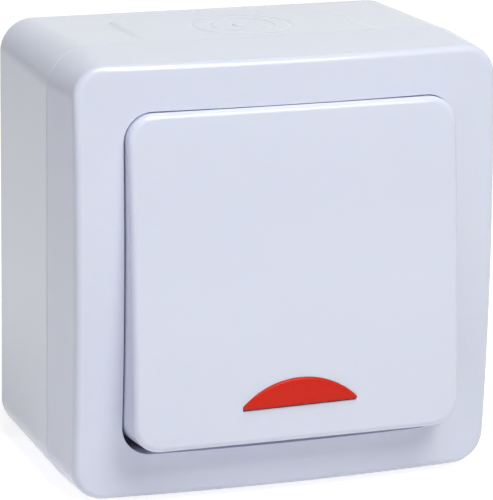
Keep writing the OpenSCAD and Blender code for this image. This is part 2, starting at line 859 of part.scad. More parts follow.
// The groove over the walls in which the lamp's wire goes to the line terminal
module lead_groove() {
    room = 2 * lead_r;
    translate([-pocket_x, -lamp_drop - room, lead_z - room]) cube([pocket_x - lead_x, 2 * room, tray_wall]);
    translate([-pocket_x - room, -lamp_drop - room, lead_z - room]) {
        cube([2 * room, lamp_drop + pocket_low + 1, tray_wall]);
    }
}

module mechanism_screws() {
    color(STEEL) upright() at_lugs() translate([0, 0, lug_z + lug_t]) {
        screw(lug_screw_r - screw_fit, lug_z + lug_t - back_wall - 2, lug_r - head_gap, 1.2);
    }
}

// The strip that both terminals share: along the floor and under the block of the upper left pocket
module terminal_strip() {
    translate([-strip_w / 2, 0, 0]) slab(floor_z, floor_z + strip_t) {
        translate([0, chamber_h / 2 - 3.5]) square([strip_w, 3.5 + tray_wall + strip_w]);
        translate([-pocket_out + strip_w / 2 + 2 * strip_gap, pocket_low + strip_gap]) {
            square([pocket_out - 2 * strip_gap, strip_w]);
        }
    }
}

module seesaw_contact() {
    color(BRASS) upright() seesawed() difference() {
        union() {
            slab(seesaw_low, seesaw_top) square([seesaw_w, seesaw_l], center = true);
            for (s = [-1, 1]) translate([s * (seesaw_w - strip_t) / 2, 0, 0]) {
                slab(fulcrum_z - 1.6, seesaw_top) square([strip_t, 4.4], center = true);
            }
        }
        translate([-seesaw_w, 0, fulcrum_z]) rotate([0, 90, 0]) {
            cylinder(r = fulcrum_r + fulcrum_fit, h = 2 * seesaw_w);
        }
    }
}

module moving_contact_tip() {
    color(SILVER) upright() seesawed() translate([0, -tip_reach, seesaw_low - tip_t]) {
        cylinder(r = tip_r, h = tip_t);
    }
}

module common_terminal() {
    color(BRASS) upright() {
        terminal_strip();
        slab(floor_z, floor_z + strip_t) translate([-strip_w / 2, -2]) square([strip_w, chamber_h / 2]);
        slab(floor_z, fulcrum_z) square([strip_w, 2 * fulcrum_r], center = true);
        translate([-strip_w / 2, 0, fulcrum_z]) rotate([0, 90, 0]) cylinder(r = fulcrum_r, h = strip_w);
    }
}

module fixed_contact() {
    arm_top = seesaw_low - 2 * tip_t - contact_gap;
    riser_y = chamber_h / 2 - 2 * notch_gap - strip_t;
    arm_w = 2 * (tip_r + passing_gap);
    color(BRASS) upright() {
        rotate([0, 0, 180]) terminal_strip();
        translate([-arm_w / 2, -riser_y - strip_t, floor_z]) cube([arm_w, strip_t, arm_top - floor_z - 1.4]);
        seesawed() translate([-arm_w / 2, -riser_y - strip_t, arm_top - strip_t]) {
            cube([arm_w, riser_y + strip_t - tip_reach + tip_r + notch_gap, strip_t]);
        }
    }
}

module fixed_contact_tip() {
    color(SILVER) upright() seesawed() translate([0, -tip_reach, seesaw_low - 2 * tip_t - contact_gap]) {
        cylinder(r = tip_r, h = tip_t);
    }
}

// A terminal block with the wire's hole along y and the screw's hole from the front
module clamp() {
    difference() {
        translate([-clamp_w / 2, -clamp_l / 2, clamp_z]) cube([clamp_w, clamp_l, clamp_h]);
        translate([0, -clamp_l, wire_z]) rotate([-90, 0, 0]) cylinder(r = wire_r, h = 2 * clamp_l);
        translate([0, 0, wire_z]) cylinder(r = clamp_screw_r, h = clamp_h);
    }
}

module line_clamp() {
    color(BRASS) upright() translate([-pocket_x, pocket_y, 0]) clamp();
}

module load_clamp() {
    color(BRASS) upright() translate([pocket_x, -pocket_y, 0]) clamp();
}

module terminal_screws() {
    color(STEEL) upright() for (s = [-1, 1]) translate([s * pocket_x, -s * pocket_y, wire_z + screw_start]) {
        difference() {
            cylinder(r = clamp_screw_r - screw_fit, h = clamp_screw_l);
            translate([0, 0, clamp_screw_l]) {
                cube([4 * clamp_screw_r, driver_slot, 2 * driver_slot], center = true);
            }
        }
    }
}

// Lamp

module neon_lamp() {
    half = lamp_l / 2 - lamp_r;
    color(GLASS) upright() translate([0, -lamp_drop, lamp_z]) {
        translate([-half, 0, 0]) rotate([0, 90, 0]) cylinder(r = lamp_r, h = 2 * half);
        for (s = [-1, 1]) translate([s * half, 0, 0]) sphere(lamp_r);
    }
}

module lamp_holder() {
    color(PALE) upright() translate([0, -lamp_drop, 0]) difference() {
        slab(frame_top, lamp_z) square([holder_w, holder_h], center = true);
        translate([0, 0, lamp_z]) {
            translate([-lamp_l / 2, 0, 0]) rotate([0, 90, 0]) cylinder(r = lamp_r + lamp_fit, h = lamp_l);
        }
        for (s = [-1, 1]) translate([s * lead_x, 0, frame_top - 1]) {
            cylinder(r = lead_r + lead_room, h = lamp_z);
        }
    }
}

// A straight run of wire between two points
module wire_run(from, to) {
    way = to - from;
    length = norm(way);
    translate(from) rotate([0, acos(way[2] / length), atan2(way[1], way[0])]) {
        cylinder(r = lead_r, h = length, $fn = 16);
    }
    translate(to) sphere(lead_r, $fn = 16);
}

// Wires through a list of points, one straight run after another
module wire_path(points) {
    for (i = [1 : len(points) - 1]) wire_run(points[i - 1], points[i]);
}

module lamp_leads() {
    line_end = pocket_y - clamp_screw_r - lead_r - head_gap;
    color(SILVER) upright() {
        wire_path([
            [-lamp_l / 2, -lamp_drop, lamp_z],
            [-lead_x, -lamp_drop, lamp_z],
            [-lead_x, -lamp_drop, lead_z],
            [-pocket_x, -lamp_drop, lead_z],
            [-pocket_x, line_end, lead_z],
            [-pocket_x, line_end, clamp_z + clamp_h + lead_r]
        ]);
        wire_path([
            [lamp_l / 2, -lamp_drop, lamp_z],
            [lead_x, -lamp_drop, lamp_z],
            [lead_x, -lamp_drop, resistor_z + resistor_l + lead_r]
        ]);
        wire_path([
            [lead_x, -lamp_drop, resistor_z],
            [lead_x, -lamp_drop, clamp_z + lead_r]
        ]);
    }
}

module lamp_resistor() {
    color(TAN) upright() translate([lead_x, -lamp_drop, resistor_z]) {
        cylinder(r = resistor_r, h = resistor_l);
    }
}

back_box();
box_seal();
cover_frame();
cover_screws();
rocker_cap();
indicator_lens();
cradle();
plunger();
plunger_spring();
bearing_frame();
mechanism_seal();
mechanism_base();
mechanism_screws();
seesaw_contact();
moving_contact_tip();
common_terminal();
fixed_contact();
fixed_contact_tip();
line_clamp();
load_clamp();
terminal_screws();
neon_lamp();
lamp_holder();
lamp_leads();
lamp_resistor();
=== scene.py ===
# %% [markdown]
# # A surface mounted light switch, modelled in Blender
#
# The real object is a small white box for the wall with one large rocker in its front. Everything
# that shows is glossy moulded plastic: the back box, the cover over it, the rocker and a red lens.
#
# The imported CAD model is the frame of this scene. It holds every piece at its true size, so the
# visible mouldings are rebuilt here as smooth meshes in the same place, and the inner pieces stay
# as they are and only get a finish.

import json
import math

import bmesh
import bpy
from mathutils import Matrix, Vector


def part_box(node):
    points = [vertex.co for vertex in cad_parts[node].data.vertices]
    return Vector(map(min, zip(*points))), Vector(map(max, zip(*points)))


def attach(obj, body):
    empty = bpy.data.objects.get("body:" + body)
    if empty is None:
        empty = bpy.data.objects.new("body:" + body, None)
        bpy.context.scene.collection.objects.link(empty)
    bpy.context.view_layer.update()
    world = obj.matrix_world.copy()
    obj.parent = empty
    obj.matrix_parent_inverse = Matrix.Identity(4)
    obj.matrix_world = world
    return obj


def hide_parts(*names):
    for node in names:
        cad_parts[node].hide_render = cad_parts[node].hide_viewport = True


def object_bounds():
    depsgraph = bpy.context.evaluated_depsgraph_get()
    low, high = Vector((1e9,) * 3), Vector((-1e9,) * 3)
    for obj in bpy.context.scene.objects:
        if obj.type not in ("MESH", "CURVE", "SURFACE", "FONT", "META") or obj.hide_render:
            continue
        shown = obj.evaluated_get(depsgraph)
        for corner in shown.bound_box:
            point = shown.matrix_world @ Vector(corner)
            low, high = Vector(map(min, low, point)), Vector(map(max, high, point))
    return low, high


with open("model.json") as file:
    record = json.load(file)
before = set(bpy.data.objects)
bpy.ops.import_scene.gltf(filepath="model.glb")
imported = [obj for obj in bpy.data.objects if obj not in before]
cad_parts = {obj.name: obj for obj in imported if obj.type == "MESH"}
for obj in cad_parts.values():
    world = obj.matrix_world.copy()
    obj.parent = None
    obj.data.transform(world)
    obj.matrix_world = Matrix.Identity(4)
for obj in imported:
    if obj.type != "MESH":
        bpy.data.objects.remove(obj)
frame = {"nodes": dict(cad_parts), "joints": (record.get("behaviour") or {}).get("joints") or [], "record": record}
cad_low, cad_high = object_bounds()

# %% [markdown]
# ## Sizes
#
# A moulded part is easiest to describe lying on its back: x to the right, y up and z out from the
# wall, in millimetres. One turn about X at the end stands it up in the frame's own axes. The sizes
# that the frame can tell are read from its boxes, so that the meshes follow the CAD model.

# %% Sizes and the turn that stands a piece up
MM = 0.001
SHARP_FROM = math.radians(32)
UPRIGHT = Matrix.Rotation(math.radians(90), 4, "X")


def extents(node):
    """Width and the two depths of a CAD node in millimetres, measured from the wall."""
    low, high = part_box(node)
    return (high.x - low.x) / MM, -high.y / MM, -low.y / MM


box_w, _, box_d = extents("back_box")
body_w, _, _ = extents("cover_frame")
cover_rise = 14.7
face_z = box_d + cover_rise
pivot = next(j for j in frame["joints"] if j["name"] == "rocker_pivot")
pivot_z = -pivot["pos_m"][1] / MM
lean = math.radians(pivot["range_deg"][1] / 2)
past = 1.0  # how far a cutting tool runs past the surface that it cuts
print(f"box {box_w:.2f} wide and {box_d:.2f} deep, face at {face_z:.2f}")
print(f"rocker leans {math.degrees(lean):.2f} degrees")

# %% [markdown]
# ## Rings and skins
#
# Moulded covers are shells: one section, carried round a rounded square. So each shell is a list
# of rings with the same number of points, and a skin of quads between neighbouring rings. Such a
# mesh can be bent to a crown by lowering each point by a formula, which a bevelled cube can't.


# %% A ring, the crown and a skin of quads
def on_circle(r, angle, x=0.0, y=0.0):
    """The point of a circle at an angle, round a middle at x and y."""
    return (x + r * math.cos(angle), y + r * math.sin(angle))


def ring(w, h, r, corner=14, side=14):
    """Points of a rounded rectangle, counter-clockwise, with extra points along its sides."""
    middles = [(sx * (w / 2 - r), sy * (h / 2 - r)) for sx, sy in ((1, 1), (-1, 1), (-1, -1), (1, -1))]
    quarter_turn = math.pi / 2
    points = []
    for quarter in range(4):
        for i in range(corner + 1):
            points.append(on_circle(r, quarter_turn * (quarter + i / corner), *middles[quarter]))
        start = points[-1]
        end = on_circle(r, quarter_turn * (quarter + 1), *middles[(quarter + 1) % 4])
        for i in range(1, side):
            t = i / side
            points.append((start[0] * (1 - t) + end[0] * t, start[1] * (1 - t) + end[1] * t))
    return points


def crown(rx, ry):
    """A face that falls away from its middle, as on a large ball."""
    return lambda x, y: x * x / (2 * rx) + y * y / (2 * ry)


def flat(x, y):
    return 0.0


def lift(outline, z, fall=flat):
    """An outline at a height, lowered by a crown."""
    return [(x, y, z - fall(x, y)) for x, y in outline]


def between(first, last, t):
    """The ring a share of the way from one ring to another."""
    return [tuple(a * (1 - t) + b * t for a, b in zip(p, q)) for p, q in zip(first, last)]


def skin(rings, around=False):
    """A mesh of quads over the rings; it ends in two caps, or closes round on itself."""
    bm = bmesh.new()
    rows = [[bm.verts.new(p) for p in r] for r in rings]
    pairs = list(zip(rows, rows[1:])) + ([(rows[-1], rows[0])] if around else [])
    for a, b in pairs:
        for i in range(len(a)):
            j = (i + 1) % len(a)
            bm.faces.new((a[i], a[j], b[j], b[i]))
    if not around:
        bm.faces.new(list(reversed(rows[0])))
        bm.faces.new(rows[-1])
    bmesh.ops.recalc_face_normals(bm, faces=bm.faces)
    return bm


def turns(start, end, steps):
    """Angles from one to another, given in degrees, in even steps."""
    return [math.radians(start + (end - start) * i / steps) for i in range(steps + 1)]


def arc(centre, radius, start, end, steps=6):
    """Section points of a rounded edge, as (inset, height) pairs."""
    return [on_circle(radius, a, *centre) for a in turns(start, end, steps)]


print("points in a ring:", len(ring(10, 10, 2)))

# %% [markdown]
# ## Cutters
#
# Slots, bores and knock-out rings are cut out of a shell as a tool would cut them. Boolean
# modifiers do that, and their result is kept as a plain mesh. All tools of one kind go into one
# mesh, because a single exact cut is quicker and cleaner than many.


# %% Prisms, lathed tools and cuts
def circle(r, centre=(0, 0), n=48):
    return [on_circle(r, math.tau * i / n, *centre) for i in range(n)]


def prism(outline, z0, z1):
    """A straight tool between two heights."""
    return skin([lift(outline, z0), lift(outline, z1)])


def lathe(section, n=96, closed=True):
    """A tool turned about z from (radius, height) pairs. A closed section makes a ring."""
    rings = [[(*on_circle(r, math.tau * i / n), z) for i in range(n)] for r, z in section]
    return skin(rings, around=closed)


def moved(bm, matrix):
    bmesh.ops.transform(bm, matrix=matrix, verts=bm.verts)
    return bm


def together(parts):
    """Several meshes as one."""
    whole = bmesh.new()
    for part in parts:
        mesh = bpy.data.meshes.new("tool")
        part.to_mesh(mesh)
        part.free()
        whole.from_mesh(mesh)
        bpy.data.meshes.remove(mesh)
    return whole


def as_object(bm, name):
    mesh = bpy.data.meshes.new(name)
    bm.to_mesh(mesh)
    bm.free()
    obj = bpy.data.objects.new(name, mesh)
    bpy.context.scene.collection.objects.link(obj)
    return obj


def cut(obj, parts, operation):
    """Adds or takes away tools and keeps the result as the object's mesh."""
    tool = as_object(together(parts), "tool")
    mod = obj.modifiers.new("cut", "BOOLEAN")
    mod.operation, mod.solver, mod.object = operation, "EXACT", tool
    bpy.context.view_layer.update()
    seen = obj.evaluated_get(bpy.context.evaluated_depsgraph_get())
    made = bpy.data.meshes.new_from_object(seen)
    obj.modifiers.clear()
    obj.data = made
    bpy.data.objects.remove(tool)
    print(f"{obj.name}: {operation.lower()} leaves {len(made.vertices)} points")


def finish_shape(obj, turn):
    """Stands the piece up in metres, then smooths its faces between sharp edges."""
    obj.data.transform(turn)
    obj.data.transform(Matrix.Scale(MM, 4))
    for poly in obj.data.polygons:
        poly.use_smooth = True
    obj.data.set_sharp_from_angle(angle=SHARP_FROM)
    mod = obj.modifiers.new("even_normals", "WEIGHTED_NORMAL")
    mod.keep_sharp = True


# %% [markdown]
# ## White moulding
#
# The body is glossy white plastic with a faint cool cast. Real mouldings are never quite even:
# the polish of the mould changes a little from place to place, and the surface has a very fine
# ripple. Both are made from noise: a wide one for colour and gloss, and a narrow one for bump.
# A little light also passes under the surface, which softens the small edges.


# %% Material helpers
NOISE_LOW, NOISE_HIGH = 0.3, 0.7
tone_scale, polish_scale = 60, 140


def new_material(name):
    mat = bpy.data.materials.new(name)
    mat.use_nodes = True
    return mat, mat.node_tree.nodes, mat.node_tree.links, mat.node_tree.nodes["Principled BSDF"]


def noise(nodes, links, scale, detail=3.0):
    """Noise in object space, so that it stays with the piece."""
    place = nodes.new("ShaderNodeTexCoord")
    tex = nodes.new("ShaderNodeTexNoise")
    tex.inputs["Scale"].default_value = scale
    tex.inputs["Detail"].default_value = detail
    links.new(place.outputs["Object"], tex.inputs["Vector"])
    return tex


def spread(nodes, links, source, low, high):
    """Maps noise to a narrow range of values."""
    node = nodes.new("ShaderNodeMapRange")
    node.inputs["From Min"].default_value = NOISE_LOW
    node.inputs["From Max"].default_value = NOISE_HIGH
    node.inputs["To Min"].default_value = low
    node.inputs["To Max"].default_value = high
    links.new(source, node.inputs["Value"])
    return node.outputs["Result"]


def tint(nodes, links, factor, first, second):
    node = nodes.new("ShaderNodeMix")
    node.data_type = "RGBA"
    links.new(factor, node.inputs["Factor"])
    node.inputs["A"].default_value = (*first, 1)
    node.inputs["B"].default_value = (*second, 1)
    return node.outputs["Result"]


def ripple(nodes, links, bsdf, scale, height, strength):
    """A fine bump on the shader's normal."""
    fine = noise(nodes, links, scale, 2.0)
    bump = nodes.new("ShaderNodeBump")
    bump.inputs["Strength"].default_value = strength
    bump.inputs["Distance"].default_value = height
    links.new(fine.outputs["Fac"], bump.inputs["Height"])
    links.new(bump.outputs["Normal"], bsdf.inputs["Normal"])


def plastic(name, first, second, rough, grain, height, strength):
    """Moulded plastic: two close colours, a spread of roughness and a fine ripple."""
    mat, nodes, links, bsdf = new_material(name)
    wide = noise(nodes, links, tone_scale)
    links.new(tint(nodes, links, wide.outputs["Fac"], first, second), bsdf.inputs["Base Color"])
    polish = noise(nodes, links, polish_scale)
    links.new(spread(nodes, links, polish.outputs["Fac"], *rough), bsdf.inputs["Roughness"])
    ripple(nodes, links, bsdf, grain, height, strength)
    return mat


dim_white, bright_white, white_gloss = (0.690, 0.715, 0.870), (0.699, 0.724, 0.880), (0.17, 0.20)
white = plastic("white_moulding", dim_white, bright_white, white_gloss, 2200, 0.000002, 0.05)
soft = white.node_tree.nodes["Principled BSDF"].inputs
soft["Subsurface Weight"].default_value = 0.5
soft["Subsurface Radius"].default_value = (1.0, 0.8, 0.7)
soft["Subsurface Scale"].default_value = 0.0005
print("made", white.name)

# %% [markdown]
# ## Back box
#
# The box that is screwed to the wall: a tray with drafted sides, a groove for the seal in its rim
# and two slots for the screws. On its top and bottom walls lies a level pad with a knock-out, two
# thin rings and a pip in the middle. The tray is one section carried round, and the pads, posts,
# slots and rings are added and cut.

# %% Back box sizes and shell
box_draft, box_r, box_back_r, inside_r = 0.75, 6.55, 5.1, 0.4
box_wall, back_wall, box_fillet = 2.0, 2.2, 1.0
foot_edge, rim_edge = 0.3, 0.48
seal_in, seal_out, seal_d = 0.5, 1.5, 1.2
side_rings = 6


def box_ring(inset, z):
    """A ring of the box: its outline shrinks by the draft towards the wall."""
    t = z / box_d
    shrink = box_draft * (1 - t) + inset
    r = max(box_back_r * (1 - t) + box_r * t - inset, inside_r)
    return lift(ring(box_w - 2 * shrink, box_w - 2 * shrink, r), z)


section = arc((foot_edge, foot_edge), foot_edge, 270, 180)
section += [(0, box_d * k / side_rings) for k in range(1, side_rings)]
section += arc((rim_edge, box_d - rim_edge), rim_edge, 180, 90, 4)
section += [(seal_in, box_d), (seal_in, box_d - seal_d), (seal_out, box_d - seal_d), (seal_out, box_d)]
section += [(box_wall, box_d), (box_wall, back_wall + box_fillet)]
section += arc((box_wall + box_fillet, back_wall + box_fillet), box_fillet, 180, 270, 4)[1:]
back_box = as_object(skin([box_ring(i, z) for i, z in section]), "back_box_moulding")
print("rings in the box:", len(section))

# %% [markdown]
# The pad stands level with the rim while the wall behind it is drafted, so it rises towards the
# wall. Its outline is a rectangle with two round rear corners, and its edge is softly rounded.

# %% Entry pads, posts and cuts
pad_w, pad_start, pad_r, pad_short, pad_steps = 36.8, 5.6, 7.5, 0.02, 16
entry_d, entry_rings = 18.3, (5.2, 8.1)
pip_r, pip_tip, pip_rise = 1.4, 0.05, 0.2
ring_w, ring_deep = 0.7, 0.1
post_at, post_r, screw_r, bore_depth = 22.4, 3.1, 1.4, 10.0
lug_at, lug_r, lug_z = (21.2, 11.0), 3.0, 13.0
slot_at, slot_w, slot_l = 25.0, 4.4, 7.4
root = 1.0  # where posts and lugs start, inside the back wall
post_places = [(sx * post_at, sy * post_at) for sx in (-1, 1) for sy in (-1, 1)]
lug_places = [(s * lug_at[0], s * lug_at[1]) for s in (-1, 1)]
MIRROR_Z = Matrix.Scale(-1, 4, (0, 0, 1))
TOP_WALL = Matrix.Translation((0, box_w / 2, 0)) @ Matrix.Rotation(math.radians(90), 4, "X") @ MIRROR_Z


def pad_outline(inset):
    """Seen from above: x across, y away from the wall."""
    half, r = pad_w / 2 - inset, pad_r - inset
    low, high = pad_start + inset, box_d - pad_short
    points = [on_circle(r, a, -half + r, low + r) for a in turns(180, 270, pad_steps)]
    points += [on_circle(r, a, half - r, low + r) for a in turns(270, 360, pad_steps)]
    return points + [(half, high), (-half, high)]


def entry_pad():
    """The level pad. Height 0 is its face, and its root lies inside the wall."""
    levels = [(-1.3, -1.2), (-1.3, -0.75), (-0.8, -0.46), (-0.3, -0.2), (0, -0.07), (0.3, -0.015), (0.6, 0)]
    return skin([lift(pad_outline(i), z) for i, z in levels])


def entry_pip():
    """A small dome, as (inset, height) pairs from its root to its top."""
    dome = [(0, -0.3), (0, -0.02), (0.03, 0.06), (0.13, 0.13), (0.33, 0.175), (0.65, 0.195)]
    return lathe([(pip_r - inset, z) for inset, z in dome] + [(pip_tip, pip_rise)], 48, closed=False)


def knock_out(r):
    """A ring-shaped tool with a flared mouth, which rounds the groove's edges."""
    half_groove = [(-0.3, 0.3), (-0.3, 0.01), (-0.1, -0.02), (0.05, -0.07), (0.2, -ring_deep)]
    section = [(r - ring_w + inset, z) for inset, z in half_groove]
    section += [(r - inset, z) for inset, z in reversed(half_groove)]
    return lathe(section)


def both_walls(make):
    """The same tool on the upper wall and, mirrored, on the lower one."""
    parts = []
    for flip in (1, -1):
        place = Matrix.Diagonal((1, flip, 1, 1)) @ TOP_WALL
        bm = moved(make(), place)
        bmesh.ops.recalc_face_normals(bm, faces=bm.faces)
        parts.append(bm)
    return parts


def at_entry(bm):
    return moved(bm, Matrix.Translation((0, entry_d, 0)))


posts = [prism(circle(post_r, place), root, box_d) for place in post_places]
posts += [prism(circle(lug_r, place), root, lug_z) for place in lug_places]
cut(back_box, both_walls(entry_pad) + posts, "UNION")
cut(back_box, both_walls(lambda: at_entry(entry_pip())), "UNION")

# %% Slots, bores and knock-out rings


def slot_outline(centre, steps=16):
    """A slot with round ends, level, with its middle at an x."""
    half = (slot_l - slot_w) / 2
    points = []
    for side, start in ((1, -90), (-1, 90)):
        points += [on_circle(slot_w / 2, a, centre + side * half) for a in turns(start, start + 180, steps)]
    return points


bores = [prism(circle(screw_r, place), box_d - bore_depth, box_d + past) for place in post_places]
bores += [prism(circle(screw_r, place), back_wall + past, lug_z + past) for place in lug_places]
slots = [prism(slot_outline(side * slot_at), -past, back_wall + past) for side in (-1, 1)]
grooves = [bm for r in entry_rings for bm in both_walls(lambda: at_entry(knock_out(r)))]
cut(back_box, bores + slots + grooves, "DIFFERENCE")
finish_shape(back_box, UPRIGHT)
back_box.data.materials.append(white)
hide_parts("back_box")
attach(back_box, "housing")

# %% [markdown]
# ## Cover
#
# The front cover is a shell with a crowned face and a square well for the rocker. Its whole
# section goes round once: up the side, over the rounded edge, across the face, down into the
# well, across the deck and back behind. The face keeps the crown's curve at every point.

# %% Cover section
body_r, face_r, cover_edge, cover_wall = 6.6, 4.9, 1.1, 2.0
draft_x, draft_y = 0.55, 0.85
opening_w, opening_r, well_wall, mouth = 52.36, 4.5, 1.6, 0.12
deck_top, deck_t = 30.6, 1.6
lip_low, lip_top, lip_t, lip_gap = box_d - 3, box_d + 1.5, 1.2, 0.3
back_edge, inner_edge, smallest_r = 0.3, 0.6, 0.3
aperture_w, aperture_h, aperture_r = 28.6, 16.8, 1.6
face_crown = crown(305, 350)


def square_ring(w, r, z, fall=flat):
    return lift(ring(w, w, max(r, smallest_r)), z, fall)


def rim(inset, z):
    """A ring of the cover's outside at the parting line."""
    return square_ring(body_w - 2 * inset, body_r - inset, z)


def face_ring(inset, z):
    """A ring of the cover's outside round its face, where the sides have all their draft."""
    w, h = body_w - 2 * (draft_x + inset), body_w - 2 * (draft_y + inset)
    return lift(ring(w, h, face_r - inset), z, face_crown)


def well(grow, z, fall=flat):
    return square_ring(opening_w + 2 * grow, opening_r + grow, z, fall)


edge_steps, side_steps, face_steps = 12, 5, 6
rings = [rim(i, z) for i, z in arc((back_edge, box_d + back_edge), back_edge, 270, 180, 4)]
side_top = face_ring(0, face_z - cover_edge)
rings += [between(rings[-1], side_top, k / side_steps) for k in range(1, side_steps)]
for k in range(edge_steps + 1):
    a = math.radians(90 * k / edge_steps)
    rings.append(face_ring(cover_edge * (1 - math.cos(a)), face_z - cover_edge * (1 - math.sin(a))))
face_in = square_ring(opening_w + 2 * mouth, opening_r + mouth, face_z)
face_out = face_ring(cover_edge, face_z)
for k in range(1, face_steps + 1):
    flat_points = [(x, y) for x, y, z in between(face_out, face_in, k / face_steps)]
    rings.append(lift(flat_points, face_z, face_crown))
for inset, z in arc((mouth, face_z - mouth), mouth, 90, 180, 5)[1:]:
    rings.append(well(inset, z, face_crown))
print("rings down to the well:", len(rings))

# %% Cover inside and cuts
crowned_depth, straight_from = 4.0, 2.0
deck_fillet = [(0, 0.5), (-0.15, 0.15), (-0.5, 0)]
rings += [well(0, face_z - crowned_depth, face_crown), well(0, deck_top + straight_from)]
rings += [well(grow, deck_top + up) for grow, up in deck_fillet]
rings += [lift(ring(aperture_w, aperture_h, aperture_r), z) for z in (deck_top, deck_top - deck_t)]
ceiling_z, ceiling_edge, ceiling_r = face_z - cover_wall, 1.0, 3.4
rings += [well(well_wall, deck_top - deck_t), well(well_wall, ceiling_z - inner_edge, face_crown)]
rings.append(well(well_wall + inner_edge, ceiling_z, face_crown))
inner_w, inner_r = box_w - 2 * box_wall, box_r - box_wall
ceiling_w, ceiling_h = inner_w - 2 * draft_x, inner_w - 2 * draft_y
ceiling = ring(ceiling_w - 2 * ceiling_edge, ceiling_h - 2 * ceiling_edge, ceiling_r - ceiling_edge)
lip_in, lip_out = inner_w - 2 * (lip_gap + lip_t), inner_w - 2 * lip_gap
rings += [
    lift(ceiling, ceiling_z, face_crown),
    lift(ring(ceiling_w, ceiling_h, ceiling_r), ceiling_z - ceiling_edge, face_crown),
    square_ring(inner_w, inner_r, lip_top),
    square_ring(lip_in, inner_r - lip_gap, lip_top),
    square_ring(lip_in, inner_r - lip_gap, lip_low),
    square_ring(lip_out, inner_r - lip_gap, lip_low),
    square_ring(lip_out, inner_r - lip_gap, box_d),
]
cover = as_object(skin(rings, around=True), "cover_moulding")
window_w, window_h, window_r, window_y = 15.0, 6.2, 0.6, -17.0
window = [(x, y + window_y) for x, y in ring(window_w, window_h, window_r, 4, 2)]
post_sink, screw_play = 0.8, 0.2
cover_posts = [prism(circle(post_r, place), box_d, deck_top - post_sink) for place in post_places]
holes = [prism(circle(screw_r + screw_play, place), box_d - past, deck_top + past) for place in post_places]
cut(cover, cover_posts, "UNION")
cut(cover, holes + [prism(window, deck_top - deck_t - past, deck_top + past)], "DIFFERENCE")
finish_shape(cover, UPRIGHT)
cover.data.materials.append(white)
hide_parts("cover_frame")
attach(cover, "housing")

# %% [markdown]
# ## Rocker
#
# One large key that leans to either side. It is a crowned cap with a short skirt, four posts
# and two clips under it that hold it on the cradle, and a hole for the lens. At rest its top is
# pressed in, so the whole cap is turned about the pivot by the resting lean.

# %% Rocker shell
rocker_w, rocker_h, rocker_r, rocker_edge, rocker_wall = 51.96, 50.7, 4.2, 1.0, 1.8
skirt_z, cap_top = pivot_z + 2.6, pivot_z + 11.9
rocker_crown = crown(1700, 590)
cap_under = cap_top - rocker_crown(rocker_w / 2, rocker_h / 2) - rocker_wall
TO_PIVOT = Matrix.Translation((0, 0, pivot_z))
LEANED = TO_PIVOT @ Matrix.Rotation(-lean, 4, "X") @ Matrix.Translation((0, 0, -pivot_z))


def cap_ring(inset, z, fall=flat):
    r = max(rocker_r - inset, smallest_r)
    return lift(ring(rocker_w - 2 * inset, rocker_h - 2 * inset, r), z, fall)


top_steps, middle_share = 16, 0.02
flat_ring = ring(rocker_w - 2 * rocker_edge, rocker_h - 2 * rocker_edge, rocker_r - rocker_edge)
shares = [middle_share] + [k / top_steps for k in range(1, top_steps + 1)]
rings = [lift([(x * t, y * t) for x, y in flat_ring], cap_top, rocker_crown) for t in shares]
for k in range(edge_steps - 1, -1, -1):
    a = math.radians(90 * k / edge_steps)
    height = cap_top - rocker_edge * (1 - math.sin(a))
    rings.append(cap_ring(rocker_edge * (1 - math.cos(a)), height, rocker_crown))
skirt_foot = [(0, 0.3), (0.08, 0.08), (0.3, 0), (rocker_wall, 0)]
cap_fillet = [(0, 0.8), (0.25, 0.25), (0.8, 0)]
rings += [cap_ring(inset, skirt_z + up) for inset, up in skirt_foot]
rings += [cap_ring(rocker_wall + inset, cap_under - down) for inset, down in cap_fillet]
rocker = as_object(skin(rings), "rocker_moulding")
print("rings in the rocker:", len(rings))

# %% Rocker clips and the hole for the lens
cradle_w, cradle_l, cradle_top, cradle_t = 21.0, 24.0, pivot_z + 4.2, 2.2
leg_w, leg_t, barb, hook_h = 8.0, 1.5, 0.9, 1.2
hook_z = cradle_top - cradle_t - hook_h
peg_r, peg_in, peg_points = 1.2, 3.0, 24
fused, hair = 0.5, 0.001  # how far legs and pegs run into the cap, and hooks past the legs
lens_w, lens_h, lens_drop, lens_rise, lens_flange = 19.1, 4.2, 19.8, 0.4, 0.9
lens_seat, lens_flange_t = cap_under + 0.9, 1.3
tip_core, least_tip, lens_tilt, lens_play = -0.3, 0.02, math.radians(0.8), 0.02
crown_steps, tip_steps, base_steps = 40, 6, 12
slit_w, slit_short, slit_overlap, slit_depth = 0.17, 0.45, 0.1, 0.3


def block(x0, x1, y0, y1, z0, z1):
    return prism([(x0, y0), (x1, y0), (x1, y1), (x0, y1)], z0, z1)


def lens_outline(grow):
    """A low segment of a circle on a straight edge, with round tips, grown or shrunk evenly."""
    core = min(grow - least_tip, tip_core)
    round_tip = grow - core
    big = (lens_w * lens_w / 4 + lens_h * lens_h) / (2 * lens_h)
    mid_y = lens_h - big
    half = math.acos((-core - mid_y) / (big + core))
    tip = (big + core) * math.sin(half)
    tip_turns = [-math.pi / 2 + (math.pi - half) * i / tip_steps for i in range(tip_steps + 1)]
    right_tip = [on_circle(round_tip, a, tip, -core) for a in tip_turns]
    points = list(right_tip)
    for i in range(1, crown_steps):
        a = half - 2 * half * i / crown_steps
        points.append(((big + grow) * math.sin(a), mid_y + (big + grow) * math.cos(a)))
    points += [(-x, y) for x, y in reversed(right_tip)]
    points += [(-tip + 2 * tip * i / base_steps, -grow) for i in range(1, base_steps)]
    c, s = math.cos(lens_tilt), math.sin(lens_tilt)
    return [(x * c - y * s, x * s + y * c - lens_drop) for x, y in points]


